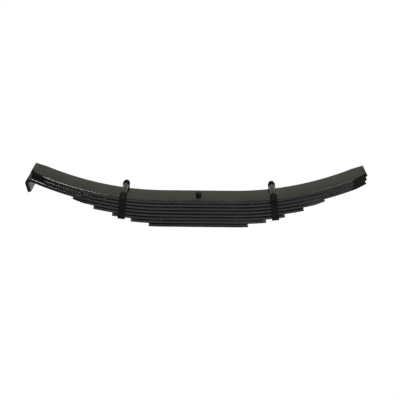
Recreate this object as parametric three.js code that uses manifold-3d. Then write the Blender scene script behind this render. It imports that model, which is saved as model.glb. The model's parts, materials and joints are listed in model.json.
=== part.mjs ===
// Trailer slipper leaf spring: eight stacked leaves with a hook end, held together by
// a centre bolt and two rebound clips. Millimetres, +X along the leaves towards the plain
// end, +Y across them, +Z up. The origin is the centre of the centre bolt's lower end.
import * as THREE from 'three';
import { mergeVertices } from 'three/addons/utils/BufferGeometryUtils.js';
import Module from 'manifold-3d';

// Clearances
const TOUCH_GAP = 0.3;
const RUNNING_GAP = 0.5;
const BOLT_HOLE_GAP = 0.5;
const CUT_OVER = 4;
const OVERRUN = 1;

// Leaf bar and the curve that all the leaves share
const LEAF_WIDTH = 76.2;
const LEAF_THICKNESS = 11.3;
const LEAF_PITCH = LEAF_THICKNESS + TOUCH_GAP;
const EDGE_CHAMFER = 2.4;
const FLAT_HALF = 107.5;
const ARC_RADIUS = 872;
const FACET_LENGTH = 34.7;
const SHORTEST_FACET = 1;
const DRILLED_HALF = 25;

// How far each leaf reaches to either side, measured along the top leaf's upper face
const LEAF_REACHES = [516, 510, 503.5, 376.5, 312, 256, 201.5, 150];
const TRIMMED_LEAVES = 4;
const TRIM_LENGTH = 45;
const TRIM_DEPTH = 10.5;

// Hook at the left end of the third leaf
const HOOK_LEAF = 2;
const HOOK_START = 503;
const HOOK_OUTER_RADIUS = 17;
const HOOK_LEG_LENGTH = 25.5;
const HOOK_LEAN = THREE.MathUtils.degToRad(10);
const HOOK_FACETS = 8;

// Centre bolt, M12 with a round head on top and its nut below the last leaf
const CENTRE_BOLT_RADIUS = 6;
const CENTRE_HEAD_RADIUS = 8.5;
const CENTRE_HEAD_HEIGHT = 10;
const CENTRE_HEAD_CHAMFER = 2;
const CENTRE_NUT_ACROSS_FLATS = 18;
const CENTRE_NUT_HEIGHT = 10.8;
const CENTRE_BOLT_END = 1.4;

// Rebound clips: a U strap round the first six leaves, with its bolt, tube, nut and rivet
const CLIPPED_LEAVES = 6;
const FACETS_TO_CLIP = 3.5;
const CLIP_AT = FLAT_HALF + FACETS_TO_CLIP * FACET_LENGTH;
const STRAP_WIDTH = 22;
const STRAP_THICKNESS = 5;
const STRAP_SIDE_GAP = 1;
const STRAP_INNER_RADIUS = 4;
const EAR_HEIGHT = 21.5;
const CLIP_BOLT_RADIUS = 5;
const CLIP_BOLT_ACROSS_FLATS = 17;
const CLIP_BOLT_HEAD = 6;
const CLIP_NUT_HEIGHT = 8;
const CLIP_BOLT_END = 2.5;
const TUBE_OUTER_RADIUS = 8;
const TUBE_INNER_RADIUS = 5.5;
const RIVET_RADIUS = 4.7;
const RIVET_HEAD_RADIUS = 8;
const RIVET_HEAD_HEIGHT = 5;
const RIVET_DOME_SHARES = [0.35, 0.7, 0.92];

const ROUND_SIDES = 24;
const HEX_SIDES = 6;
const STRAP_BEND_FACETS = 4;

// Worked-out heights
const LEAF_COUNT = LEAF_REACHES.length;
const PACK_HEIGHT = LEAF_COUNT * LEAF_PITCH - TOUCH_GAP;
const CENTRE_BOLT_BELOW = TOUCH_GAP + CENTRE_NUT_HEIGHT + CENTRE_BOLT_END;
const TOP_Z = PACK_HEIGHT + CENTRE_BOLT_BELOW;
const HALF_WIDTH = LEAF_WIDTH / 2;

const wasm = await Module();
wasm.setup();

const spring = new THREE.Group();
const leafPaint = { color: 0x40413a, roughness: 0.38, metalness: 0.2 };
const strapPaint = { color: 0x1c1d1c, roughness: 0.5, metalness: 0.2 };
const fastenerPaint = { color: 0x171817, roughness: 0.45, metalness: 0.3 };
const tubePaint = { color: 0x3c3d38, roughness: 0.42, metalness: 0.25 };

function toSolid(geometry) {
  geometry.deleteAttribute('normal');
  geometry.deleteAttribute('uv');
  const merged = mergeVertices(geometry);
  const vertProperties = new Float32Array(merged.getAttribute('position').array);
  const triVerts = new Uint32Array(merged.index.array);
  return new wasm.Manifold(new wasm.Mesh({ numProp: 3, vertProperties, triVerts }));
}

function toGeometry(solid) {
  const { vertProperties, triVerts } = solid.getMesh();
  const geometry = new THREE.BufferGeometry();
  geometry.setAttribute('position', new THREE.BufferAttribute(vertProperties, 3));
  geometry.setIndex(new THREE.BufferAttribute(triVerts, 1));
  geometry.computeVertexNormals();
  return geometry;
}

function addPiece(parent, name, solid, paint) {
  const piece = new THREE.Mesh(toGeometry(solid), new THREE.MeshStandardMaterial(paint));
  piece.name = name;
  parent.add(piece);
}

// A round bar along Y, between two heights on that axis
function barAlongY(radius, from, to, sides = ROUND_SIDES) {
  const bar = new THREE.CylinderGeometry(radius, radius, to - from, sides);
  return toSolid(bar.translate(0, (from + to) / 2, 0));
}

// A round bar along Z, between two heights on that axis
function barAlongZ(radius, from, to, sides = ROUND_SIDES) {
  const bar = new THREE.CylinderGeometry(radius, radius, to - from, sides);
  return toSolid(bar.rotateX(Math.PI / 2).translate(0, 0, (from + to) / 2));
}

function hexRadius(acrossFlats) {
  return acrossFlats / 2 / Math.cos(Math.PI / HEX_SIDES);
}

function depthOfTop(index) {
  return index * LEAF_PITCH;
}

// The angle at which the leaves stand, at a distance along the top leaf
function turnAt(along) {
  return Math.max(Math.abs(along) - FLAT_HALF, 0) / ARC_RADIUS;
}

// A point of the side view, at a distance along the top leaf and a depth below its upper face
function spot(along, depth) {
  const side = Math.sign(along);
  const turn = turnAt(along);
  const flatRun = Math.min(Math.abs(along), FLAT_HALF);
  const x = side * (flatRun + (ARC_RADIUS + depth) * Math.sin(turn));
  const z = TOP_Z + ARC_RADIUS - (ARC_RADIUS + depth) * Math.cos(turn);
  return new THREE.Vector2(x, z);
}

// Where the facets meet from the flat seat out to a leaf's end
function halfStations(reach) {
  const stations = [];
  for (let along = FLAT_HALF; along < reach - SHORTEST_FACET; along += FACET_LENGTH) {
    stations.push(along);
  }
  stations.push(reach);
  return stations;
}

// The hook's bend and leg, from the end of the leaf to the tip of the leg, at one radius
function hookLine(depthTop, radius) {
  const turn = turnAt(HOOK_START);
  const centre = spot(-HOOK_START, depthTop + HOOK_OUTER_RADIUS);
  const startAngle = Math.PI / 2 - turn;
  const endAngle = Math.PI + HOOK_LEAN;
  const points = [];
  for (let step = 1; step <= HOOK_FACETS; step += 1) {
    const angle = THREE.MathUtils.lerp(startAngle, endAngle, step / HOOK_FACETS);
    const outwards = new THREE.Vector2(Math.cos(angle), Math.sin(angle));
    points.push(centre.clone().addScaledVector(outwards, radius));
  }
  const legWay = new THREE.Vector2(Math.sin(HOOK_LEAN), -Math.cos(HOOK_LEAN));
  points.push(points.at(-1).clone().addScaledVector(legWay, HOOK_LEG_LENGTH));
  return points;
}

function leafOutline(index) {
  const reach = LEAF_REACHES[index];
  const top = depthOfTop(index);
  const bottom = top + LEAF_THICKNESS;
  const hooked = index === HOOK_LEAF;
  const right = halfStations(reach);
  const left = halfStations(hooked ? HOOK_START : reach).map((along) => -along).reverse();
  const across = [...left, ...right];
  const upper = across.map((along) => spot(along, top));
  const lower = across.map((along) => spot(along, bottom)).reverse();
  const outerHook = hooked ? hookLine(top, HOOK_OUTER_RADIUS).reverse() : [];
  const innerHook = hooked ? hookLine(top, HOOK_OUTER_RADIUS - LEAF_THICKNESS) : [];
  return new THREE.Shape([...outerHook, ...upper, ...lower, ...innerHook]);
}

// The waste cut off one corner of a leaf's end, square to the leaf's faces
function trimWaste(reach, depthTop, side, across) {
  const slope = TRIM_DEPTH / TRIM_LENGTH;
  const corners = [
    [-TRIM_LENGTH - CUT_OVER, HALF_WIDTH + CUT_OVER * slope],
    [CUT_OVER, HALF_WIDTH - TRIM_DEPTH - CUT_OVER * slope],
    [CUT_OVER, HALF_WIDTH + CUT_OVER],
    [-TRIM_LENGTH - CUT_OVER, HALF_WIDTH + CUT_OVER],
  ];
  const outline = new THREE.Shape(corners.map(([out, wide]) => new THREE.Vector2(side * out, across * wide)));
  const cutHeight = LEAF_THICKNESS + 2 * CUT_OVER;
  const waste = new THREE.ExtrudeGeometry(outline, { depth: cutHeight, bevelEnabled: false });
  const tip = spot(side * reach, depthTop);
  waste.translate(0, 0, -LEAF_THICKNESS - CUT_OVER);
  waste.rotateY(-side * turnAt(reach));
  waste.translate(tip.x, 0, tip.y);
  return toSolid(waste);
}

function leafBlank(index) {
  const blank = new THREE.ExtrudeGeometry(leafOutline(index), {
    depth: LEAF_WIDTH - 2 * EDGE_CHAMFER,
    bevelThickness: EDGE_CHAMFER,
    bevelSize: EDGE_CHAMFER,
    bevelOffset: -EDGE_CHAMFER,
    bevelSegments: 1,
  });
  return toSolid(blank.rotateX(Math.PI / 2).translate(0, HALF_WIDTH - EDGE_CHAMFER, 0));
}

// A leaf with its centre bolt hole. Its drilled middle comes from a blank of its own, so that
// the flat seat to either side of the bolt stays a plain rectangle.
function drilledLeaf(index) {
  const middle = toSolid(new THREE.BoxGeometry(2 * DRILLED_HALF, 2 * LEAF_WIDTH, 4 * TOP_Z));
  const hole = barAlongZ(CENTRE_BOLT_RADIUS + BOLT_HOLE_GAP, 0, TOP_Z + CENTRE_HEAD_HEIGHT);
  const drilledMiddle = leafBlank(index).intersect(middle).subtract(hole);
  return leafBlank(index).subtract(middle).add(drilledMiddle);
}

function leafSolid(index) {
  const reach = LEAF_REACHES[index];
  const top = depthOfTop(index);
  let leaf = drilledLeaf(index);
  if (index < TRIMMED_LEAVES) {
    const ends = index === HOOK_LEAF ? [1] : [-1, 1];
    for (const side of ends) {
      for (const across of [-1, 1]) {
        leaf = leaf.subtract(trimWaste(reach, top, side, across));
      }
    }
  }
  return leaf;
}

// A clip's own frame: on the top leaf's upper facet, square to it
function clipFrame(side) {
  const facetHalfTurn = FACET_LENGTH / 2 / ARC_RADIUS;
  const sagitta = ARC_RADIUS * (1 - Math.cos(facetHalfTurn));
  const seat = spot(side * CLIP_AT, -sagitta);
  const frame = new THREE.Group();
  frame.position.set(seat.x, 0, seat.y);
  frame.rotation.y = -side * turnAt(CLIP_AT);
  frame.updateMatrixWorld();
  return frame;
}

const STRAP_INNER_HALF = HALF_WIDTH + STRAP_SIDE_GAP;
const STRAP_OUTER_HALF = STRAP_INNER_HALF + STRAP_THICKNESS;
const STRAP_INNER_Z = -CLIPPED_LEAVES * LEAF_PITCH;
const STRAP_OUTER_Z = STRAP_INNER_Z - STRAP_THICKNESS;
const CLIP_BOLT_Z = EAR_HEIGHT - STRAP_WIDTH / 2;

// Half of the strap's end view, from an ear's top down and round the bend to the base
function strapSide(half, base, radius, way) {
  const arc = new THREE.EllipseCurve(way * (half - radius), base + radius, radius, radius,
    way > 0 ? 0 : Math.PI, -Math.PI / 2, way > 0);
  return [new THREE.Vector2(way * half, EAR_HEIGHT), ...arc.getPoints(STRAP_BEND_FACETS)];
}

function strapSolid() {
  const outerRadius = STRAP_INNER_RADIUS + STRAP_THICKNESS;
  const outline = new THREE.Shape([
    ...strapSide(STRAP_OUTER_HALF, STRAP_OUTER_Z, outerRadius, 1),
    ...strapSide(STRAP_OUTER_HALF, STRAP_OUTER_Z, outerRadius, -1).reverse(),
    ...strapSide(STRAP_INNER_HALF, STRAP_INNER_Z, STRAP_INNER_RADIUS, -1),
    ...strapSide(STRAP_INNER_HALF, STRAP_INNER_Z, STRAP_INNER_RADIUS, 1).reverse(),
  ]);
  const bent = new THREE.ExtrudeGeometry(outline, { depth: STRAP_WIDTH, bevelEnabled: false });
  bent.translate(0, 0, -STRAP_WIDTH / 2).rotateX(Math.PI / 2).rotateZ(Math.PI / 2);
  const earSpan = STRAP_OUTER_HALF + CUT_OVER;
  const strapHeight = CLIP_BOLT_Z - STRAP_OUTER_Z + CUT_OVER;
  const belowEars = new THREE.BoxGeometry(STRAP_WIDTH, 2 * earSpan, strapHeight);
  belowEars.translate(0, 0, CLIP_BOLT_Z - strapHeight / 2);
  const earTop = barAlongY(STRAP_WIDTH / 2, -earSpan, earSpan).translate([0, 0, CLIP_BOLT_Z]);
  const boltHole = barAlongY(CLIP_BOLT_RADIUS + TOUCH_GAP, -earSpan, earSpan).translate([0, 0, CLIP_BOLT_Z]);
  const rivetHole = barAlongZ(RIVET_RADIUS + TOUCH_GAP, STRAP_OUTER_Z - CUT_OVER, STRAP_INNER_Z + CUT_OVER);
  const roundedEars = earTop.add(toSolid(belowEars));
  return toSolid(bent).intersect(roundedEars).subtract(boltHole).subtract(rivetHole);
}

function clipBoltSolid() {
  const underHead = -STRAP_OUTER_HALF - TOUCH_GAP;
  const end = STRAP_OUTER_HALF + TOUCH_GAP + CLIP_NUT_HEIGHT + CLIP_BOLT_END;
  const headRadius = hexRadius(CLIP_BOLT_ACROSS_FLATS);
  const head = barAlongY(headRadius, underHead - CLIP_BOLT_HEAD, underHead, HEX_SIDES);
  const shank = barAlongY(CLIP_BOLT_RADIUS, underHead - OVERRUN, end);
  return head.add(shank).translate([0, 0, CLIP_BOLT_Z]);
}

function clipNutSolid() {
  const from = STRAP_OUTER_HALF + TOUCH_GAP;
  const to = from + CLIP_NUT_HEIGHT;
  const hex = barAlongY(hexRadius(CLIP_BOLT_ACROSS_FLATS), from, to, HEX_SIDES);
  const bore = barAlongY(CLIP_BOLT_RADIUS + TOUCH_GAP, from - OVERRUN, to + OVERRUN);
  return hex.subtract(bore).translate([0, 0, CLIP_BOLT_Z]);
}

function spacerTubeSolid() {
  const half = STRAP_INNER_HALF - RUNNING_GAP;
  const outside = barAlongY(TUBE_OUTER_RADIUS, -half, half);
  const bore = barAlongY(TUBE_INNER_RADIUS, -half - OVERRUN, half + OVERRUN);
  return outside.subtract(bore).translate([0, 0, CLIP_BOLT_Z]);
}

// The clip's rivet: a domed head under the strap and a shank up through the sixth leaf
function rivetSolid() {
  const headTop = STRAP_OUTER_Z - TOUCH_GAP;
  const shankTop = -(CLIPPED_LEAVES - 1) * LEAF_PITCH - TOUCH_GAP;
  const profile = [new THREE.Vector2(0, headTop - RIVET_HEAD_HEIGHT)];
  for (const share of RIVET_DOME_SHARES) {
    const drop = RIVET_HEAD_HEIGHT * Math.sqrt(1 - share * share);
    profile.push(new THREE.Vector2(RIVET_HEAD_RADIUS * share, headTop - drop));
  }
  profile.push(new THREE.Vector2(RIVET_HEAD_RADIUS, headTop));
  profile.push(new THREE.Vector2(RIVET_RADIUS, headTop));
  profile.push(new THREE.Vector2(RIVET_RADIUS, shankTop));
  profile.push(new THREE.Vector2(0, shankTop));
  return toSolid(new THREE.LatheGeometry(profile, ROUND_SIDES).rotateX(Math.PI / 2));
}

function rivetHoleFor(side) {
  const hole = barAlongZ(RIVET_RADIUS + TOUCH_GAP, STRAP_OUTER_Z, STRAP_INNER_Z + LEAF_PITCH + 2 * OVERRUN);
  return hole.transform(clipFrame(side).matrixWorld.toArray());
}

function addLeaves() {
  for (let index = 0; index < LEAF_COUNT; index += 1) {
    let leaf = leafSolid(index);
    if (index === CLIPPED_LEAVES - 1) {
      leaf = leaf.subtract(rivetHoleFor(-1)).subtract(rivetHoleFor(1));
    }
    addPiece(spring, `leaf_${index + 1}`, leaf, leafPaint);
  }
}

function addCentreBolt() {
  const seat = TOP_Z + TOUCH_GAP;
  const top = seat + CENTRE_HEAD_HEIGHT;
  const bolt = new THREE.LatheGeometry([
    new THREE.Vector2(0, 0),
    new THREE.Vector2(CENTRE_BOLT_RADIUS, 0),
    new THREE.Vector2(CENTRE_BOLT_RADIUS, seat),
    new THREE.Vector2(CENTRE_HEAD_RADIUS, seat),
    new THREE.Vector2(CENTRE_HEAD_RADIUS, top - CENTRE_HEAD_CHAMFER),
    new THREE.Vector2(CENTRE_HEAD_RADIUS - CENTRE_HEAD_CHAMFER, top),
    new THREE.Vector2(0, top),
  ], ROUND_SIDES).rotateX(Math.PI / 2);
  addPiece(spring, 'centre_bolt', toSolid(bolt), fastenerPaint);
  const nutTop = CENTRE_BOLT_END + CENTRE_NUT_HEIGHT;
  const hex = barAlongZ(hexRadius(CENTRE_NUT_ACROSS_FLATS), CENTRE_BOLT_END, nutTop, HEX_SIDES);
  const bore = barAlongZ(CENTRE_BOLT_RADIUS + TOUCH_GAP, 0, nutTop + OVERRUN);
  addPiece(spring, 'centre_bolt_nut', hex.subtract(bore), fastenerPaint);
}

function addClip(name, side) {
  const clip = clipFrame(side);
  spring.add(clip);
  addPiece(clip, `${name}_clip_strap`, strapSolid(), strapPaint);
  addPiece(clip, `${name}_clip_bolt`, clipBoltSolid(), fastenerPaint);
  addPiece(clip, `${name}_clip_nut`, clipNutSolid(), fastenerPaint);
  addPiece(clip, `${name}_clip_spacer_tube`, spacerTubeSolid(), tubePaint);
  addPiece(clip, `${name}_clip_rivet`, rivetSolid(), fastenerPaint);
}

addLeaves();
addCentreBolt();
addClip('left', -1);
addClip('right', 1);

export default spring;
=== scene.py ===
"""Looks of a trailer slipper leaf spring: eight rolled leaves, their centre bolt and two rebound clips.

Metres, in the CAD's own frame: +X along the leaves towards the plain end, +Y across them, +Z up.
"""

import json
import math

import bmesh
import bpy
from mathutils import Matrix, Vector


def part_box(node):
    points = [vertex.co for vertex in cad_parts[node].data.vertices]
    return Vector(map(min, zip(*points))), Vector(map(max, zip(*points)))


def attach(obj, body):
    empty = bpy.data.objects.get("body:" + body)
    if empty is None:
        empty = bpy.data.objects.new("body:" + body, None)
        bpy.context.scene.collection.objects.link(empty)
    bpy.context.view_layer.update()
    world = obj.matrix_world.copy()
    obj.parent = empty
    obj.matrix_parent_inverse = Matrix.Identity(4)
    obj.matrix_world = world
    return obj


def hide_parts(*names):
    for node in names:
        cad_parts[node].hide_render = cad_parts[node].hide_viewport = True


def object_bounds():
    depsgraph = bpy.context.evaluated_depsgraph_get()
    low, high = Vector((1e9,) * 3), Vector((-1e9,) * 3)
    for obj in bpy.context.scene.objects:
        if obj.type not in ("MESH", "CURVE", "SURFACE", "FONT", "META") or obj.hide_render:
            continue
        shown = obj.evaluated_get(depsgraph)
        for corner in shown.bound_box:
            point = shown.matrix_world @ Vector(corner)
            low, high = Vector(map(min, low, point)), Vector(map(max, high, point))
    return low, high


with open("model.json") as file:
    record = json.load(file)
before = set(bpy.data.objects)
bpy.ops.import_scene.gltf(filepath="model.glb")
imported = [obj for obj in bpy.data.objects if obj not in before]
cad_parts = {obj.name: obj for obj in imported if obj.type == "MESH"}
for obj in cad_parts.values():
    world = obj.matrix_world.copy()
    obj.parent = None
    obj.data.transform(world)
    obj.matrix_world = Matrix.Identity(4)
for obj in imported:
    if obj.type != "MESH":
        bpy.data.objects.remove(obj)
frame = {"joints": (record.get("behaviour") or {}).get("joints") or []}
CAD_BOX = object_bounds()

MM = 0.001
PACK_BODY = "spring_pack"
SIDES = {"left": -1, "right": 1}

# Working in edit mode
MERGE_WITHIN = 0.002 * MM
SMOOTH_BELOW = math.radians(35)
STEEP_EDGE = 40
RUNS_ALONG = 0.9
RUNS_ACROSS = 0.1
CUT_PAST = 1 * MM

# The bar that the leaves are rolled from, and the curve that they share
LEAF_COUNT = 8
THICKNESS = 11.3 * MM
EDGE_ROUND = 3.8 * MM
FLAT_HALF = 107.5 * MM
BOW_RADIUS = 872 * MM
ROLL_STEP = 14 * MM
EDGE_SEGMENTS = 10
BURR = 0.6 * MM

# Corners trimmed off the ends of the long leaves
TRIMMED_LEAVES = 4
TRIM_LENGTH = 45 * MM
TRIM_DEPTH = 10.5 * MM

# The hook at the left end of the third leaf
HOOK_LEAF = 3
HOOK_START = 503 * MM
HOOK_RADIUS = 17 * MM
HOOK_LEG = 25.5 * MM
HOOK_LEAN = math.radians(10)
HOOK_STEPS = 28

# Fasteners
BOLT_HOLE_RADIUS = 6.5 * MM
HEX_SIDES = 6
TURNED_SIDES = 64
CHAMFER_SHARE = 0.96
CHAMFER_SLOPE = math.tan(math.radians(30))
THREAD_DEPTH = 0.6
CENTRE_BOLT_RADIUS = 6 * MM
CENTRE_HEAD_CHAMFER = 2 * MM
CENTRE_HEAD_SEGMENTS = 5
CENTRE_PITCH = 1.75 * MM
CENTRE_RIDGES = 3
NUT_EDGE = 0.25 * MM
BOLT_EDGE = 0.2 * MM
BOLT_STEEP_EDGE = 50

# The rebound clips, measured from the clip bolt's axis
STRAP_WIDTH = 22 * MM
STRAP_THICKNESS = 5 * MM
STRAP_BEND = 4 * MM
STRAP_BEND_STEPS = 10
STRAP_DROP = 85.1 * MM
STRAP_EDGE = 0.9 * MM
EAR_SEGMENTS = 12
EAR_FLAT = 0.05 * MM
EAR_TOP_BAND = 0.1 * MM
CLIP_BOLT_RADIUS = 5 * MM
CLIP_FLATS = 17 * MM
CLIP_HEAD = 6 * MM
CLIP_NUT = 8 * MM
CLIP_BOLT_END = 2.5 * MM
CLIP_PITCH = 1.5 * MM
CLIP_RIDGES = 4
TUBE_RADIUS = 8 * MM
TUBE_BORE = 5.5 * MM
TUBE_PLAY = 0.5 * MM
TUBE_EDGE = 0.4 * MM
RIVET_RADIUS = 4.7 * MM
RIVET_HEAD_RADIUS = 8 * MM
RIVET_HEAD = 5 * MM
RIVET_DOME_SHARE = 0.92
RIVET_DOME_SEGMENTS = 10
RIVET_SHANK = 16.6 * MM
TOUCH_GAP = 0.3 * MM

# Finishes
DUST = (0.16, 0.15, 0.12, 1)
BARE_STEEL = (0.11, 0.105, 0.10, 1)
RUB_SHARE = 0.5
DUST_SHARE = 0.05
PEEL_DEPTH = 0.02 * MM
PEEL_STRENGTH = 0.3

# Studio. The glow is painted light, what the paint sees of the floor: full in front of the spring, less
# beyond, with a painted shadow of the spring beneath it.
FLOOR_SIZE = 12.0
FLOOR_DROP = 0.2 * MM
FLOOR_GLOW = 0.92
FLOOR_SHADE = 0.10
GLOW_MIDDLE_X = 0.15
GLOW_NEAR_Y = -0.05
GLOW_FULL_Y = -0.09
GLOW_FADE_Y = -0.3
GLOW_END_Y = -0.6
GLOW_END_SHARE = 0.3
GLOW_FULL_X = 0.40
GLOW_FAR_X = 0.75
GLOW_FAR_SHARE = 0.25
GLOW_BEHIND_Y = 0.05
GLOW_BEHIND_FADE = 0.15
GLOW_BEHIND = 0.7
ROOM_GLOW = 0.10
CAMERA_TURN = math.radians(1.218)
CAMERA_RISE = math.radians(26.884)
CAMERA_DISTANCE = 2.1332
CAMERA_AIM_X = 4.55 * MM
CAMERA_AIM_DROP = 16.0 * MM
CAMERA_LENS = 61.87
CAMERA_SENSOR = 36
CAMERA_REACH = 30
WHITE = (1, 1, 1)
BACK_SCREEN_TINT = (1.0, 0.99, 0.80)

# Softboxes: name, place, the point each is aimed at, width, height, power and colour
SOFTBOXES = (
    ("back_screen", (0, 2.2, 1.1), (0, 0, 0.2), 3.2, 1.5, 6.0, BACK_SCREEN_TINT),
    ("key_softbox_high", (1.95, -1.9, 5.4), (-0.5, 0, 0.2), 1.4, 3.0, 520, WHITE),
    ("key_softbox_low", (1.25, -4.75, 3.58), (-0.5, 0, 0.2), 0.9, 1.4, 26, WHITE),
    ("fill_softbox_high", (-2.0, -1.9, 5.4), (0.5, 0, 0.2), 1.4, 3.0, 130, WHITE),
    ("fill_softbox_low", (-1.4, -4.75, 3.58), (0.5, 0, 0.2), 0.9, 1.4, 20, WHITE),
    ("ceiling_softbox", (0, 0.3, 3.2), (0, 0, 0.1), 5.0, 3.0, 24, WHITE),
    ("left_wall_softbox", (-3, 0, 1.2), (0, 0, 0.1), 3.4, 1.6, 9, WHITE),
    ("right_wall_softbox", (3, 0, 1.2), (0, 0, 0.1), 3.4, 1.6, 9, WHITE),
)

SEAT_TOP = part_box("leaf_1")[0].z + THICKNESS
BOW_CENTRE_Z = SEAT_TOP + BOW_RADIUS
LEAF_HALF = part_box("leaf_1")[1].y


# ---------------------------------------------------------------- working in edit mode

def put_down_tools():
    """Leaves edit mode and deselects everything."""
    if bpy.context.object and bpy.context.object.mode != "OBJECT":
        bpy.ops.object.mode_set(mode="OBJECT")
    bpy.ops.object.select_all(action="DESELECT")


def take(piece):
    """Makes one piece the selected and active object."""
    put_down_tools()
    piece.select_set(True)
    bpy.context.view_layer.objects.active = piece


def work_on(piece):
    """Opens a piece in edit mode with nothing selected."""
    take(piece)
    bpy.ops.object.mode_set(mode="EDIT")
    bpy.ops.mesh.select_mode(type="FACE")
    bpy.ops.mesh.select_all(action="DESELECT")


def named_blank(name):
    """Names the new primitive and gives it a second finish slot, which marks its worked edges."""
    piece = bpy.context.object
    piece.name = name
    piece.data.name = name
    bpy.ops.object.transform_apply(location=True, rotation=True, scale=True)
    for _ in range(2):
        piece.data.materials.append(None)
    return piece


def block(name, low, high):
    """A rectangular blank between two corners."""
    put_down_tools()
    low, high = Vector(low), Vector(high)
    bpy.ops.mesh.primitive_cube_add(size=1, location=(low + high) / 2, scale=high - low)
    return named_blank(name)


def round_bar(name, radius, start, end, axis="Z", sides=TURNED_SIDES):
    """A round or hexagonal blank along Y or Z, between two places on that axis."""
    put_down_tools()
    middle = (start + end) / 2
    place, tilt = {
        "Z": ((0, 0, middle), (0, 0, 0)),
        "Y": ((0, middle, 0), (-math.pi / 2, 0, 0)),
    }[axis]
    bpy.ops.mesh.primitive_cylinder_add(
        vertices=sides, radius=radius, depth=end - start, location=place, rotation=tilt)
    return named_blank(name)


def pick_faces(piece, test):
    """Selects the faces whose centre and normal pass a test."""
    bpy.ops.mesh.select_mode(type="FACE")
    bpy.ops.mesh.select_all(action="DESELECT")
    shape = bmesh.from_edit_mesh(piece.data)
    for face in shape.faces:
        face.select_set(test(face.calc_center_median(), face.normal))
    bmesh.update_edit_mesh(piece.data)


def pick_edges(piece, test):
    """Selects the edges whose middle and direction pass a test."""
    bpy.ops.mesh.select_mode(type="EDGE")
    bpy.ops.mesh.select_all(action="DESELECT")
    shape = bmesh.from_edit_mesh(piece.data)
    for edge in shape.edges:
        start, end = (corner.co for corner in edge.verts)
        edge.select_set(test((start + end) / 2, (end - start).normalized()))
    bmesh.update_edit_mesh(piece.data)


def pick_cap(piece, way):
    """Selects the end face that looks furthest along a direction."""
    bpy.ops.mesh.select_mode(type="FACE")
    bpy.ops.mesh.select_all(action="DESELECT")
    shape = bmesh.from_edit_mesh(piece.data)
    way = Vector(way)
    cap = max(shape.faces, key=lambda face: (
        round(face.normal.dot(way), 3), face.calc_center_median().dot(way)))
    cap.select_set(True)
    bmesh.update_edit_mesh(piece.data)


def push(offset, scale=None):
    """Extrudes the selected faces by an offset, then scales them about their middle."""
    bpy.ops.mesh.extrude_region_move(TRANSFORM_OT_translate={"value": offset})
    if scale:
        bpy.ops.transform.resize(value=scale)


def close_up(piece):
    """Merges doubled corners and points every face outwards."""
    work_on(piece)
    bpy.ops.mesh.select_all(action="SELECT")
    bpy.ops.mesh.remove_doubles(threshold=MERGE_WITHIN)
    bpy.ops.mesh.normals_make_consistent(inside=False)
    put_down_tools()


def cut_with(piece, cutter, operation="DIFFERENCE"):
    """Cuts a piece by another one, which is then thrown away."""
    take(piece)
    cut = piece.modifiers.new("cut", "BOOLEAN")
    cut.operation = operation
    cut.solver = "EXACT"
    cut.object = cutter
    bpy.ops.object.modifier_apply(modifier=cut.name)
    bpy.data.objects.remove(cutter)


def break_edges(piece, width, segments=3, angle=STEEP_EDGE):
    """Takes the sharpness off every edge that is steeper than an angle in degrees."""
    take(piece)
    bevel = piece.modifiers.new("break", "BEVEL")
    bevel.width = width
    bevel.segments = segments
    bevel.limit_method = "ANGLE"
    bevel.angle_limit = math.radians(angle)
    bevel.material = 1
    bpy.ops.object.modifier_apply(modifier=bevel.name)


def mark_worked_edges(piece):
    """Writes a point attribute: 1 inside the rounded and broken edges, 0 on the faces between them."""
    mesh = piece.data
    worked = [True] * len(mesh.vertices)
    for face in mesh.polygons:
        if face.material_index == 0:
            for corner in face.vertices:
                worked[corner] = False
        face.material_index = 0
    edge = mesh.attributes.new("worked_edge", "FLOAT", "POINT")
    edge.data.foreach_set("value", [float(is_worked) for is_worked in worked])


def finish_piece(piece, paint, body, node):
    """Smooths, paints and hands a finished piece to its CAD body in place of a CAD node."""
    close_up(piece)
    mark_worked_edges(piece)
    take(piece)
    bpy.ops.object.shade_smooth_by_angle(angle=SMOOTH_BELOW)
    piece.data.materials.clear()
    piece.data.materials.append(paint)
    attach(piece, body)
    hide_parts(node)


# ---------------------------------------------------------------- leaves

def bow_turn(reach, radius):
    """The turn at which a curve of that radius reaches that far from the spring's middle."""
    return math.asin((abs(reach) - FLAT_HALF) / radius)


def roll_bar(name, low_z):
    """The straight bar as the mill rolls it, with rounded edges."""
    bar = block(name, (-FLAT_HALF, -LEAF_HALF, low_z), (FLAT_HALF, LEAF_HALF, low_z + THICKNESS))
    work_on(bar)
    pick_edges(bar, lambda middle, way: abs(way.x) > RUNS_ALONG)
    bpy.ops.mesh.bevel(offset=EDGE_ROUND, segments=EDGE_SEGMENTS, material=1)
    return bar


def roll_up(piece, side, turn):
    """Rolls the bar's end on round the bow's centre."""
    work_on(piece)
    pick_cap(piece, (side, 0, 0))
    steps = math.ceil(turn * BOW_RADIUS / ROLL_STEP)
    bow_centre = (side * FLAT_HALF, 0, BOW_CENTRE_Z)
    bpy.ops.mesh.spin(steps=steps, angle=turn, center=bow_centre, axis=(0, side, 0))


def trim_corner(piece, side, across, turn, depth):
    """Shears one corner off a leaf's end, square to its faces."""
    outwards = Vector((side * math.cos(turn), 0, math.sin(turn)))
    radius = BOW_RADIUS + depth
    tip_x = side * (FLAT_HALF + radius * math.sin(turn))
    tip = Vector((tip_x, across * (LEAF_HALF - TRIM_DEPTH), BOW_CENTRE_Z - radius * math.cos(turn)))
    away = (outwards * TRIM_DEPTH + Vector((0, across * TRIM_LENGTH, 0))).normalized()
    work_on(piece)
    bpy.ops.mesh.select_all(action="SELECT")
    bpy.ops.mesh.bisect(plane_co=tip, plane_no=away, use_fill=True, clear_outer=True)
    bpy.ops.mesh.mark_sharp()


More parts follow.
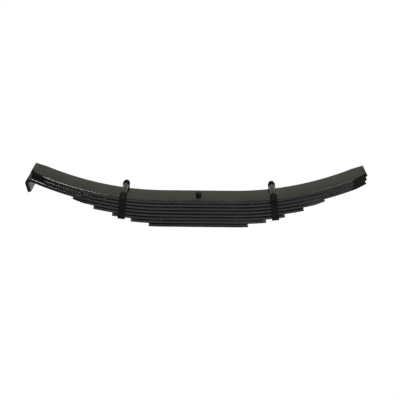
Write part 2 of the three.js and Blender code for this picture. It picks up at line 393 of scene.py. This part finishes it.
def bend_hook(piece, turn, depth):
    """Curls the left end of the third leaf down and back in, and draws out its leg."""
    radius = BOW_RADIUS + depth + HOOK_RADIUS
    bend_x = -FLAT_HALF - radius * math.sin(turn)
    bend_z = BOW_CENTRE_Z - radius * math.cos(turn)
    work_on(piece)
    pick_cap(piece, (-1, 0, 0))
    curl = math.pi / 2 + HOOK_LEAN + turn
    bpy.ops.mesh.spin(steps=HOOK_STEPS, angle=curl, center=(bend_x, 0, bend_z), axis=(0, 1, 0))
    push((math.sin(HOOK_LEAN) * HOOK_LEG, 0, -math.cos(HOOK_LEAN) * HOOK_LEG))


def make_leaf(number, paint):
    """Rolls, bends, trims and drills one leaf, counted from the top."""
    node = f"leaf_{number}"
    low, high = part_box(node)
    depth = SEAT_TOP - (low.z + THICKNESS)
    hooked = number == HOOK_LEAF
    outer_radius = BOW_RADIUS + depth + THICKNESS
    left_turn = (HOOK_START - FLAT_HALF) / BOW_RADIUS if hooked else bow_turn(low.x, outer_radius)
    right_turn = bow_turn(high.x, outer_radius)
    leaf = roll_bar(f"rolled_{node}", low.z)
    roll_up(leaf, 1, right_turn)
    roll_up(leaf, -1, left_turn)
    if hooked:
        bend_hook(leaf, left_turn, depth)
    if number <= TRIMMED_LEAVES:
        for across in (-1, 1):
            trim_corner(leaf, 1, across, right_turn, depth)
            if not hooked:
                trim_corner(leaf, -1, across, left_turn, depth)
    close_up(leaf)
    break_edges(leaf, BURR)
    cut_with(leaf, round_bar("drill", BOLT_HOLE_RADIUS, low.z - THICKNESS, SEAT_TOP + THICKNESS))
    finish_piece(leaf, paint, PACK_BODY, node)


# ---------------------------------------------------------------- fasteners

def along(axis, distance):
    """A step of that length along an axis."""
    return Vector((0, distance, 0)) if axis == "Y" else Vector((0, 0, distance))


def across(axis, ratio):
    """A scale that changes a bar's girth and not its length."""
    return (ratio, 1, ratio) if axis == "Y" else (ratio, ratio, 1)


def chamfered_hex(name, flats, start, end, axis, chamfered_ends):
    """A hexagonal blank whose corners are turned off at the ends that look the given ways."""
    corner = flats / 2 / math.cos(math.pi / HEX_SIDES)
    blank = round_bar(name, corner, start, end, axis, HEX_SIDES)
    turned = flats / 2 * CHAMFER_SHARE
    chamfer = (corner - turned) * CHAMFER_SLOPE
    inset_start = chamfer if -1 in chamfered_ends else 0
    inset_end = chamfer if 1 in chamfered_ends else 0
    cone = round_bar("cone", corner, start + inset_start, end - inset_end, axis)
    work_on(cone)
    for way in chamfered_ends:
        pick_cap(cone, along(axis, way))
        push(along(axis, way * chamfer), across(axis, turned / corner))
    close_up(cone)
    cut_with(blank, cone, "INTERSECT")
    return blank


def draw_thread(piece, axis, way, radius, pitch, ridges):
    """Draws threads out of the end of a bar, one ridge after another, and a pointed end."""
    root = 1 - THREAD_DEPTH * pitch / radius
    work_on(piece)
    pick_cap(piece, along(axis, way))
    for _ in range(ridges):
        push(along(axis, way * pitch / 2), across(axis, root))
        push(along(axis, way * pitch / 2), across(axis, 1 / root))
    push(along(axis, way * pitch / 2), across(axis, root))
    put_down_tools()


def make_centre_bolt(paint):
    """The centre bolt: a round head on the top leaf and a thread at its lower end."""
    low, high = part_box("centre_bolt")
    head_radius = high.x
    seat = SEAT_TOP + TOUCH_GAP
    thread = (CENTRE_RIDGES + 0.5) * CENTRE_PITCH
    bolt = round_bar("turned_centre_bolt", CENTRE_BOLT_RADIUS, low.z + thread, seat)
    work_on(bolt)
    pick_cap(bolt, (0, 0, 1))
    push((0, 0, 0), across("Z", head_radius / CENTRE_BOLT_RADIUS))
    push((0, 0, high.z - seat))
    pick_edges(bolt, lambda middle, way: middle.z > high.z - TOUCH_GAP and abs(way.z) < RUNS_ACROSS)
    bpy.ops.mesh.bevel(offset=CENTRE_HEAD_CHAMFER, segments=CENTRE_HEAD_SEGMENTS, material=1)
    draw_thread(bolt, "Z", -1, CENTRE_BOLT_RADIUS, CENTRE_PITCH, CENTRE_RIDGES)
    finish_piece(bolt, paint, PACK_BODY, "centre_bolt")


def make_centre_nut(paint):
    """The nut under the last leaf."""
    low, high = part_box("centre_bolt_nut")
    nut = chamfered_hex("hex_centre_nut", 2 * high.x, low.z, high.z, "Z", (-1, 1))
    cut_with(nut, round_bar("tap", CENTRE_BOLT_RADIUS + TOUCH_GAP, low.z - CUT_PAST, high.z + CUT_PAST))
    break_edges(nut, NUT_EDGE)
    finish_piece(nut, paint, PACK_BODY, "centre_bolt_nut")


# ---------------------------------------------------------------- rebound clips, about the bolt's axis

def bend_strap(inner_half):
    """The U strap: a flat bar with both ends bent up into ears and rounded over."""
    straight = inner_half - STRAP_BEND
    base_top = -STRAP_DROP + STRAP_THICKNESS
    half_width = STRAP_WIDTH / 2
    strap = block("strap", (-half_width, -straight, -STRAP_DROP), (half_width, straight, base_top))
    work_on(strap)
    for side in (-1, 1):
        pick_cap(strap, (0, side, 0))
        bend_centre = (0, side * straight, base_top + STRAP_BEND)
        bpy.ops.mesh.spin(steps=STRAP_BEND_STEPS, angle=math.pi / 2, center=bend_centre, axis=(-side, 0, 0))
        push((0, 0, half_width - base_top - STRAP_BEND))
    ear_top = half_width - EAR_TOP_BAND
    pick_edges(strap, lambda middle, way: middle.z > ear_top and abs(way.y) > RUNS_ALONG)
    bpy.ops.mesh.bevel(offset=half_width - EAR_FLAT, segments=EAR_SEGMENTS)
    close_up(strap)
    break_edges(strap, STRAP_EDGE)
    reach = inner_half + 2 * STRAP_THICKNESS
    cut_with(strap, round_bar("drill", CLIP_BOLT_RADIUS + TOUCH_GAP, -reach, reach, "Y"))
    cut_with(strap, round_bar("drill", RIVET_RADIUS + TOUCH_GAP, -STRAP_DROP - CUT_PAST, base_top + CUT_PAST))
    return strap


def head_clip_bolt(outer_half):
    """The clip bolt: a hex head on the near side and a thread that stands out of the nut."""
    under_head = -outer_half - TOUCH_GAP
    bolt = chamfered_hex("bolt", CLIP_FLATS, under_head - CLIP_HEAD, under_head, "Y", (-1,))
    thread = (CLIP_RIDGES + 0.5) * CLIP_PITCH
    end = outer_half + TOUCH_GAP + CLIP_NUT + CLIP_BOLT_END
    shank = round_bar("shank", CLIP_BOLT_RADIUS, under_head - CUT_PAST, end - thread, "Y")
    draw_thread(shank, "Y", 1, CLIP_BOLT_RADIUS, CLIP_PITCH, CLIP_RIDGES)
    cut_with(bolt, shank, "UNION")
    break_edges(bolt, BOLT_EDGE, angle=BOLT_STEEP_EDGE)
    return bolt


def tap_clip_nut(outer_half):
    """The clip nut, against the far ear."""
    start = outer_half + TOUCH_GAP
    end = start + CLIP_NUT
    nut = chamfered_hex("nut", CLIP_FLATS, start, end, "Y", (-1, 1))
    cut_with(nut, round_bar("tap", CLIP_BOLT_RADIUS + TOUCH_GAP, start - CUT_PAST, end + CUT_PAST, "Y"))
    break_edges(nut, NUT_EDGE)
    return nut


def cut_tube(inner_half):
    """The spacer tube, bored right through and deburred."""
    half = inner_half - TUBE_PLAY
    tube = round_bar("tube", TUBE_RADIUS, -half, half, "Y")
    work_on(tube)
    pick_faces(tube, lambda middle, normal: abs(normal.y) > RUNS_ALONG)
    bpy.ops.mesh.inset(thickness=TUBE_RADIUS - TUBE_BORE)
    bpy.ops.mesh.bridge_edge_loops()
    close_up(tube)
    break_edges(tube, TUBE_EDGE)
    return tube


def set_rivet():
    """The clip's rivet: a shank through the strap and the sixth leaf, and a domed head below."""
    head_top = -STRAP_DROP - TOUCH_GAP
    head_bottom = head_top - RIVET_HEAD
    rivet = round_bar("rivet", RIVET_RADIUS, head_top, head_top + RIVET_SHANK)
    work_on(rivet)
    pick_cap(rivet, (0, 0, -1))
    push((0, 0, 0), across("Z", RIVET_HEAD_RADIUS / RIVET_RADIUS))
    push((0, 0, -RIVET_HEAD))
    pick_edges(rivet, lambda middle, way: middle.z < head_bottom + TOUCH_GAP and abs(way.z) < RUNS_ACROSS)
    bpy.ops.mesh.bevel(offset=RIVET_HEAD * RIVET_DOME_SHARE, segments=RIVET_DOME_SEGMENTS)
    close_up(rivet)
    return rivet


def copy_of(piece):
    """A copy of a piece with its own mesh."""
    take(piece)
    bpy.ops.object.duplicate(linked=False)
    return bpy.context.object


def hang_on_clip(piece, side, bolt_axis):
    """Moves a clip piece from the bolt's axis at the origin to its place on the bow."""
    lean = math.atan2(abs(bolt_axis.x) - FLAT_HALF, BOW_CENTRE_Z - bolt_axis.z)
    take(piece)
    piece.location = bolt_axis
    piece.rotation_euler = (0, -side * lean, 0)
    bpy.ops.object.transform_apply(location=True, rotation=True, scale=True)


def make_clips(paints):
    """Both clips, each piece modelled once and copied for the left."""
    outer_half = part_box("left_clip_strap")[1].y
    inner_half = outer_half - STRAP_THICKNESS
    kinds = {
        "clip_strap": ("bent_strap", bend_strap(inner_half), "strap_paint"),
        "clip_bolt": ("hex_bolt", head_clip_bolt(outer_half), "fastener_paint"),
        "clip_nut": ("hex_nut", tap_clip_nut(outer_half), "fastener_paint"),
        "clip_spacer_tube": ("spacer_tube", cut_tube(inner_half), "tube_paint"),
        "clip_rivet": ("domed_rivet", set_rivet(), "fastener_paint"),
    }
    pins = {joint["child"]: Vector(joint["pos_m"]) for joint in frame["joints"]}
    for node_end, (name, model, slot) in kinds.items():
        for side_name, side in SIDES.items():
            piece = model if side_name == "right" else copy_of(model)
            piece.name = f"{side_name}_{name}"
            turning = f"{side_name}_clip_tube"
            hang_on_clip(piece, side, pins[turning])
            body = turning if node_end == "clip_spacer_tube" else PACK_BODY
            finish_piece(piece, paints[slot], body, f"{side_name}_{node_end}")


# ---------------------------------------------------------------- finishes

def new_group(name, inputs, outputs):
    """An empty shader node group with its named inputs and outputs."""
    group = bpy.data.node_groups.new(name, "ShaderNodeTree")
    for socket, (kind, value) in inputs.items():
        made = group.interface.new_socket(socket, in_out="INPUT", socket_type=kind)
        if value is not None:
            made.default_value = value
    for socket in outputs:
        group.interface.new_socket(socket, in_out="OUTPUT", socket_type="NodeSocketFloat")
    return group, group.nodes.new("NodeGroupInput"), group.nodes.new("NodeGroupOutput")


def add_node(tree, kind, inputs=None, **settings):
    """A node with its settings and its inputs, each a value or another node's output."""
    node = tree.nodes.new(kind)
    for setting, value in settings.items():
        setattr(node, setting, value)
    for socket, value in (inputs or {}).items():
        if isinstance(value, bpy.types.NodeSocket):
            tree.links.new(value, node.inputs[socket])
        else:
            node.inputs[socket].default_value = value
    return node


def maths(tree, operation, first, second, clamp=False):
    """A sum on two values, kept between 0 and 1 where it is clamped."""
    node = add_node(tree, "ShaderNodeMath", {0: first, 1: second}, operation=operation, use_clamp=clamp)
    return node.outputs[0]


def band(tree, value, low, high, out_low=0.0, out_high=1.0):
    """Maps a value from one band to another, smoothly at both ends."""
    node = add_node(tree, "ShaderNodeMapRange", {
        "Value": value, "From Min": low, "From Max": high, "To Min": out_low, "To Max": out_high})
    node.interpolation_type = "SMOOTHSTEP"
    return node.outputs["Result"]


def noise(tree, vector, scale, detail, roughness=0.55):
    """Cloudy noise over a piece, from 0 to 1."""
    node = add_node(tree, "ShaderNodeTexNoise", {
        "Vector": vector, "Scale": scale, "Detail": detail, "Roughness": roughness})
    return node.outputs["Fac"]


def build_sprayed_skin():
    """The skin of a sprayed coat over rolled steel: orange peel, rolling lines and slow mottle."""
    group, given, result = new_group("sprayed_skin", {
        "Vector": ("NodeSocketVector", None),
        "Peel Scale": ("NodeSocketFloat", 420.0),
        "Roll Scale": ("NodeSocketFloat", 90.0),
        "Roll Share": ("NodeSocketFloat", 0.5),
    }, ("Height", "Mottle", "Gloss"))
    vector = given.outputs["Vector"]
    peel = noise(group, vector, given.outputs["Peel Scale"], detail=3.0)
    drawn = add_node(group, "ShaderNodeMapping", {"Vector": vector, "Scale": (0.06, 1.0, 1.0)}).outputs[0]
    roll = noise(group, drawn, given.outputs["Roll Scale"], detail=6.0, roughness=0.65)
    rolled = maths(group, "MULTIPLY", roll, given.outputs["Roll Share"])
    height = maths(group, "ADD", peel, rolled)
    mottle = noise(group, vector, scale=14.0, detail=5.0, roughness=0.6)
    gloss = noise(group, drawn, scale=45.0, detail=5.0, roughness=0.6)
    group.links.new(height, result.inputs["Height"])
    group.links.new(band(group, mottle, 0.3, 0.7), result.inputs["Mottle"])
    group.links.new(band(group, gloss, 0.3, 0.7), result.inputs["Gloss"])
    return group


def build_rubbed_edge():
    """Where handling has thinned the coat on worked edges, in broken patches."""
    group, given, result = new_group("rubbed_edge", {
        "Vector": ("NodeSocketVector", None),
        "Edge": ("NodeSocketFloat", 0.0),
        "Amount": ("NodeSocketFloat", 0.5),
    }, ("Mask", "Film"))
    vector = given.outputs["Vector"]
    patches = noise(group, vector, scale=60.0, detail=8.0, roughness=0.7)
    chips = noise(group, vector, scale=260.0, detail=6.0, roughness=0.7)
    spread = maths(group, "ADD", patches, maths(group, "MULTIPLY", chips, 0.6))
    worn = maths(group, "MULTIPLY", spread, given.outputs["Edge"])
    threshold = maths(group, "SUBTRACT", 1.12, maths(group, "MULTIPLY", given.outputs["Amount"], 0.3))
    mask = maths(group, "MULTIPLY", maths(group, "SUBTRACT", worn, threshold), 9.0, clamp=True)
    group.links.new(mask, result.inputs["Mask"])
    group.links.new(band(group, given.outputs["Edge"], 0.2, 1.0), result.inputs["Film"])
    return group


def build_settled_dust():
    """A thin, uneven film of dust and shelf marks."""
    group, given, result = new_group("settled_dust", {
        "Vector": ("NodeSocketVector", None),
        "Amount": ("NodeSocketFloat", 0.3),
    }, ("Mask",))
    vector = given.outputs["Vector"]
    clouds = noise(group, vector, scale=9.0, detail=6.0, roughness=0.65)
    specks = noise(group, vector, scale=900.0, detail=2.0, roughness=0.5)
    film = band(group, clouds, 0.42, 0.75)
    grains = band(group, specks, 0.6, 0.72)
    film_part = maths(group, "MULTIPLY", film, 0.6)
    grain_part = maths(group, "MULTIPLY", grains, 0.4)
    both = maths(group, "ADD", film_part, grain_part)
    mask = maths(group, "MULTIPLY", both, given.outputs["Amount"], clamp=True)
    group.links.new(mask, result.inputs["Mask"])
    return group


def blend(tree, mask, first, second):
    """The first colour where the mask is 0 and the second where it is 1."""
    node = add_node(tree, "ShaderNodeMix", data_type="RGBA")
    for socket, value in ((0, mask), (6, first), (7, second)):
        if isinstance(value, bpy.types.NodeSocket):
            tree.links.new(value, node.inputs[socket])
        else:
            node.inputs[socket].default_value = value
    return node.outputs[2]


def sprayed_paint(name, groups, coat, pale, roughness, roll=0.5, sheen=0.5):
    """A sprayed coat on steel, with its skin, rubbed edges and dust from the shared groups."""
    material = bpy.data.materials.new(name)
    material.use_nodes = True
    tree = material.node_tree
    shader = tree.nodes["Principled BSDF"]
    shader.inputs["Specular IOR Level"].default_value = sheen
    place = add_node(tree, "ShaderNodeTexCoord").outputs["Object"]
    edge = add_node(tree, "ShaderNodeAttribute", attribute_name="worked_edge").outputs["Fac"]
    skin = add_node(tree, "ShaderNodeGroup", node_tree=groups["skin"])
    rubbed = add_node(tree, "ShaderNodeGroup", node_tree=groups["edge"])
    dusty = add_node(tree, "ShaderNodeGroup", node_tree=groups["dust"])
    for node in (skin, rubbed, dusty):
        tree.links.new(place, node.inputs["Vector"])
    skin.inputs["Roll Share"].default_value = roll
    tree.links.new(edge, rubbed.inputs["Edge"])
    rubbed.inputs["Amount"].default_value = RUB_SHARE
    dusty.inputs["Amount"].default_value = DUST_SHARE
    colour = blend(tree, skin.outputs["Mottle"], coat, pale)
    colour = blend(tree, dusty.outputs["Mask"], colour, DUST)
    colour = blend(tree, rubbed.outputs["Mask"], colour, BARE_STEEL)
    tree.links.new(colour, shader.inputs["Base Color"])
    satin = band(tree, skin.outputs["Gloss"], 0.0, 1.0, roughness - 0.05, roughness + 0.06)
    powdery = maths(tree, "ADD", satin, maths(tree, "MULTIPLY", dusty.outputs["Mask"], 0.35))
    tree.links.new(powdery, shader.inputs["Roughness"])
    tree.links.new(maths(tree, "MULTIPLY", rubbed.outputs["Mask"], 0.7), shader.inputs["Metallic"])
    bump = add_node(tree, "ShaderNodeBump", {
        "Height": skin.outputs["Height"], "Strength": PEEL_STRENGTH, "Distance": PEEL_DEPTH})
    tree.links.new(bump.outputs["Normal"], shader.inputs["Normal"])
    return material


# ---------------------------------------------------------------- floor, light and camera

def lay_floor():
    """A floor that is paper white to the camera. To the paint its glow is painted light: bright in front of
    the spring and behind it, dim far out to the sides, and dim beneath it as a painted shadow of the spring."""
    put_down_tools()
    bpy.ops.mesh.primitive_plane_add(size=FLOOR_SIZE, location=(0, 0, CAD_BOX[0].z - FLOOR_DROP))
    floor = bpy.context.object
    floor.name = "floor"
    material = bpy.data.materials.new("white_floor")
    material.use_nodes = True
    tree = material.node_tree
    tree.nodes.clear()
    place = add_node(tree, "ShaderNodeTexCoord").outputs["Object"]
    on_floor = add_node(tree, "ShaderNodeSeparateXYZ", {"Vector": place})
    aside = maths(tree, "ABSOLUTE", maths(tree, "SUBTRACT", on_floor.outputs["X"], GLOW_MIDDLE_X), 0.0)
    # Painted shadow: the floor's glow drops away beneath the spring, standing in for the shadow the spring
    # casts there.
    clear_of_painted_shadow = band(tree, on_floor.outputs["Y"], GLOW_FULL_Y, GLOW_NEAR_Y, 1.0, 0.0)
    within_reach = band(tree, on_floor.outputs["Y"], GLOW_END_Y, GLOW_FADE_Y, GLOW_END_SHARE, 1.0)
    in_middle = band(tree, aside, GLOW_FULL_X, GLOW_FAR_X, 1.0, GLOW_FAR_SHARE)
    in_front = maths(tree, "MULTIPLY", clear_of_painted_shadow, within_reach)
    glow_behind_full = GLOW_BEHIND_Y + GLOW_BEHIND_FADE
    behind = band(tree, on_floor.outputs["Y"], GLOW_BEHIND_Y, glow_behind_full, 0.0, GLOW_BEHIND)
    share = maths(tree, "MAXIMUM", maths(tree, "MULTIPLY", in_front, in_middle), behind)
    lit = band(tree, share, 0.0, 1.0, FLOOR_SHADE, FLOOR_GLOW)
    seen = add_node(tree, "ShaderNodeLightPath").outputs["Is Camera Ray"]
    strength = maths(tree, "MAXIMUM", seen, lit)
    glow = add_node(tree, "ShaderNodeEmission", {"Color": (1, 1, 1, 1), "Strength": strength})
    out = add_node(tree, "ShaderNodeOutputMaterial")
    tree.links.new(glow.outputs[0], out.inputs["Surface"])
    floor.data.materials.append(material)


def light_room():
    """A dim grey room that is white where the camera looks straight at it."""
    world = bpy.data.worlds.new("studio")
    bpy.context.scene.world = world
    world.use_nodes = True
    tree = world.node_tree
    seen = add_node(tree, "ShaderNodeLightPath").outputs["Is Camera Ray"]
    strength = band(tree, seen, 0.0, 1.0, ROOM_GLOW, 1.0)
    tree.nodes["Background"].inputs["Color"].default_value = (1, 1, 1, 1)
    tree.links.new(strength, tree.nodes["Background"].inputs["Strength"])


def hang_softbox(name, place, aim, width, height, power, colour):
    """A soft rectangular lamp aimed at a point, out of the camera's sight."""
    lamp = bpy.data.lights.new(name, "AREA")
    lamp.color = colour
    lamp.shape = "RECTANGLE"
    lamp.size = width
    lamp.size_y = height
    lamp.energy = power
    box = bpy.data.objects.new(name, lamp)
    bpy.context.scene.collection.objects.link(box)
    box.location = place
    box.rotation_euler = (Vector(aim) - Vector(place)).to_track_quat("-Z", "Y").to_euler()
    box.visible_camera = False


def set_camera():
    """The camera, in front of the spring and above it, nearly square to its length."""
    camera = bpy.data.cameras.new("camera")
    tripod = bpy.data.objects.new("camera", camera)
    bpy.context.scene.collection.objects.link(tripod)
    back = Vector((
        math.sin(CAMERA_TURN) * math.cos(CAMERA_RISE),
        -math.cos(CAMERA_TURN) * math.cos(CAMERA_RISE),
        math.sin(CAMERA_RISE),
    ))
    aim = Vector((CAMERA_AIM_X, 0, SEAT_TOP - CAMERA_AIM_DROP))
    tripod.location = aim + back * CAMERA_DISTANCE
    tripod.rotation_euler = (-back).to_track_quat("-Z", "Y").to_euler()
    camera.sensor_width = CAMERA_SENSOR
    camera.lens = CAMERA_LENS
    camera.clip_end = CAMERA_REACH
    bpy.context.scene.camera = tripod


set_camera()
lay_floor()
light_room()
for softbox in SOFTBOXES:
    hang_softbox(*softbox)
bpy.context.scene.view_settings.view_transform = "Standard"

GROUPS = {"skin": build_sprayed_skin(), "edge": build_rubbed_edge(), "dust": build_settled_dust()}
LEAF_PAINT = sprayed_paint(
    "leaf_black", GROUPS, (0.0016, 0.0016, 0.0013, 1), (0.003, 0.003, 0.0024, 1), 0.17)
PAINTS = {
    "strap_paint": sprayed_paint(
        "strap_black", GROUPS, (0.0025, 0.0025, 0.002, 1), (0.004, 0.004, 0.0034, 1), 0.42, sheen=0.08),
    "fastener_paint": sprayed_paint(
        "fastener_black", GROUPS, (0.004, 0.004, 0.004, 1), (0.007, 0.007, 0.006, 1), 0.36,
        roll=0.0, sheen=0.1),
    "tube_paint": sprayed_paint(
        "tube_black", GROUPS, (0.003, 0.003, 0.0024, 1), (0.005, 0.005, 0.004, 1), 0.14),
}
for number in range(1, LEAF_COUNT + 1):
    make_leaf(number, LEAF_PAINT)
make_centre_bolt(PAINTS["fastener_paint"])
make_centre_nut(PAINTS["fastener_paint"])
make_clips(PAINTS)
